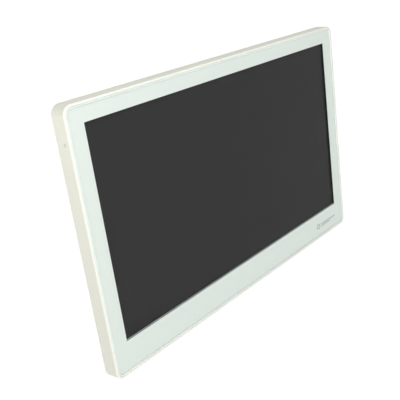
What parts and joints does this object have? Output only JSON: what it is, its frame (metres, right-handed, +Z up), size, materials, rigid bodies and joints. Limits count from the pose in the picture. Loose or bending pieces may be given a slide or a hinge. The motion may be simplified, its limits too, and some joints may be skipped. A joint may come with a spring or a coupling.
{
  "type": "video intercom monitor",
  "caption": "Slim wall-hung indoor video intercom monitor with a flat mint-white glass front, dark touch screen and ivory plastic housing that lifts off a steel wall bracket.",
  "frame": {"origin": "centre of the wall bracket's back face, on the wall plane", "axes": "+X to the right seen from the front, +Y into the wall, +Z up"},
  "size_m": [0.251, 0.022, 0.1558],
  "materials": {
    "ivory_plastic": "fine satin moulded ABS, warm ivory white",
    "cover_glass": "clear polished glass",
    "mint_print": "pale mint-white back print",
    "clear_film": "clear sensor film",
    "black_tape": "black foam tape",
    "lcd_dark": "dark switched-off display",
    "bezel_steel": "thin pressed steel",
    "diffuser": "white diffuser film",
    "acrylic": "clear acrylic light guide",
    "led_strip": "white strip with yellow LEDs",
    "flex_amber": "amber polyimide",
    "zinc_steel": "bright zinc-plated steel",
    "screw_steel": "zinc-plated screw",
    "pcb_green": "green solder mask",
    "chip_black": "black epoxy",
    "pad_grey": "soft grey-blue silicone",
    "tin_can": "tin-plated can",
    "ferrite": "dark ferrite",
    "cap_alu": "aluminium can",
    "nylon_white": "natural nylon",
    "pin_tin": "tin-plated brass",
    "connector_beige": "beige connector body",
    "card_black": "black card body",
    "switch_black": "black nylon",
    "boot_rubber": "black rubber",
    "mic_alu": "aluminium capsule",
    "wire_red_black": "PVC insulated wire",
    "speaker_plastic": "black speaker basket",
    "magnet_nickel": "nickel plated",
    "cone_film": "black polymer cone",
    "coil_copper": "enamelled copper",
    "mesh_black": "woven black mesh",
    "label_silver": "blank silver label"
  },
  "bodies": {
    "bracket": {"wall_bracket": "zinc_steel"},
    "monitor": {"front_housing": "ivory_plastic", "rear_cover": "ivory_plastic", "cover_glass": "cover_glass", "border_print": "mint_print", "glass_tape": "black_tape", "touch_sensor": "clear_film", "touch_flex": "flex_amber", "lcd_gasket": "black_tape", "lcd_front_frame": "bezel_steel", "lcd_cell": "lcd_dark", "optical_films": "diffuser", "light_guide": "acrylic", "led_bar": "led_strip", "lcd_back_plate": "bezel_steel", "lcd_flex": "flex_amber", "lcd_brackets": "zinc_steel", "lcd_screws": "screw_steel", "rear_cover_screws": "screw_steel", "main_board": "pcb_green", "board_screws": "screw_steel", "processor_chip": "chip_black", "thermal_pad": "pad_grey", "memory_chips": "chip_black", "shield_can": "tin_can", "power_inductors": "ferrite", "capacitors": "cap_alu", "door_headers": "nylon_white", "camera_headers": "nylon_white", "power_header": "nylon_white", "header_pins": "pin_tin", "lcd_connector": "connector_beige", "touch_connector": "connector_beige", "lead_connectors": "connector_beige", "sd_socket": "tin_can", "switch_body": "switch_black", "reset_switch_body": "switch_black", "microphone": "mic_alu", "mic_boot": "boot_rubber", "mic_lead": "wire_red_black", "speaker_frame": "speaker_plastic", "speaker_yoke": "magnet_nickel", "speaker_magnet": "magnet_nickel", "speaker_surround": "boot_rubber", "speaker_gasket": "black_tape", "speaker_mesh": "mesh_black", "speaker_screws": "screw_steel", "speaker_lead": "wire_red_black", "battery_holder": "connector_beige", "clock_battery": "magnet_nickel", "rating_label": "label_silver"},
    "card": {"sd_card": "card_black"},
    "power_knob": {"switch_knob": "switch_black"},
    "reset_pin": {"reset_button": "switch_black"},
    "cone": {"speaker_cone": "cone_film", "voice_coil": "coil_copper"}
  },
  "joints": [
    {"name": "monitor_lift", "type": "slide", "parent": "bracket", "child": "monitor", "axis": [0, 0, 1], "range_m": [0, 0.008]},
    {"name": "card_slide", "type": "slide", "parent": "monitor", "child": "card", "axis": [1, 0, 0], "range_m": [-0.0008, 0.014]},
    {"name": "power_slide", "type": "slide", "parent": "monitor", "child": "power_knob", "axis": [0, 0, 1], "range_m": [0, 0.003]},
    {"name": "reset_press", "type": "slide", "parent": "monitor", "child": "reset_pin", "axis": [-1, 0, 0], "range_m": [0, 0.0003], "stiffness_N_per_m": 800},
    {"name": "cone_stroke", "type": "slide", "parent": "monitor", "child": "cone", "axis": [0, 1, 0], "range_m": [-0.0003, 0.0003], "stiffness_N_per_m": 1500, "deforming": ["speaker_surround"]}
  ]
}
